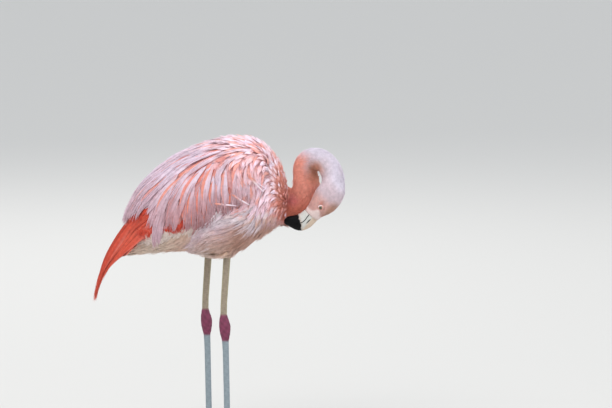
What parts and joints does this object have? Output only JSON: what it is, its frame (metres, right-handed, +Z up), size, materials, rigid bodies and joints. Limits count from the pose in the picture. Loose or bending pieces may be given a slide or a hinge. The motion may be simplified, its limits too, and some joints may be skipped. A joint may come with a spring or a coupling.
{
  "type": "flamingo",
  "caption": "Life-size still flamingo standing on both legs, its neck arched over and its bent bill preening the side of its breast.",
  "frame": {"origin": "on the floor, under the middle of the bird's bounding box", "axes": "+X the way the bird faces, +Y towards its left side, +Z up"},
  "size_m": [0.4668, 0.2002, 0.6265],
  "materials": {
    "body_plumage": "soft pale pink feathers",
    "wing_plumage": "long pale pink feathers edged with coral",
    "plume_plumage": "silky coral feathers",
    "neck_plumage": "short velvety salmon feathers",
    "head_plumage": "very short pale pink feathers",
    "tail_plumage": "soft white feathers",
    "bill_pale": "smooth pale horn",
    "bill_dark": "smooth dark horn",
    "eye": "wet pale yellow",
    "leg_skin": "scaly grey skin",
    "shank_skin": "scaly olive grey skin",
    "ankle_skin": "scaly crimson skin",
    "foot_skin": "scaly dull pink skin and webs",
    "claw": "dark horn"
  },
  "bodies": {
    "root": {"trunk": "body_plumage", "tail": "tail_plumage", "neck_base": "neck_plumage", "neck_rise": "neck_plumage", "neck_arch": "head_plumage", "neck_drop": "head_plumage", "head": "head_plumage", "bill_upper": "bill_pale", "bill_lower": "bill_dark", "wing_right": "wing_plumage", "plume_right": "plume_plumage", "thigh_right": "body_plumage", "eye_right": "eye", "shank_right": "shank_skin", "ankle_right": "ankle_skin", "tarsus_right": "leg_skin", "foot_right": "foot_skin", "hallux_right": "foot_skin", "claw_inner_right": "claw", "claw_middle_right": "claw", "claw_outer_right": "claw", "wing_left": "wing_plumage", "plume_left": "plume_plumage", "thigh_left": "body_plumage", "eye_left": "eye", "shank_left": "shank_skin", "ankle_left": "ankle_skin", "tarsus_left": "leg_skin", "foot_left": "foot_skin", "hallux_left": "foot_skin", "claw_inner_left": "claw", "claw_middle_left": "claw", "claw_outer_left": "claw"}
  },
  "joints": []
}
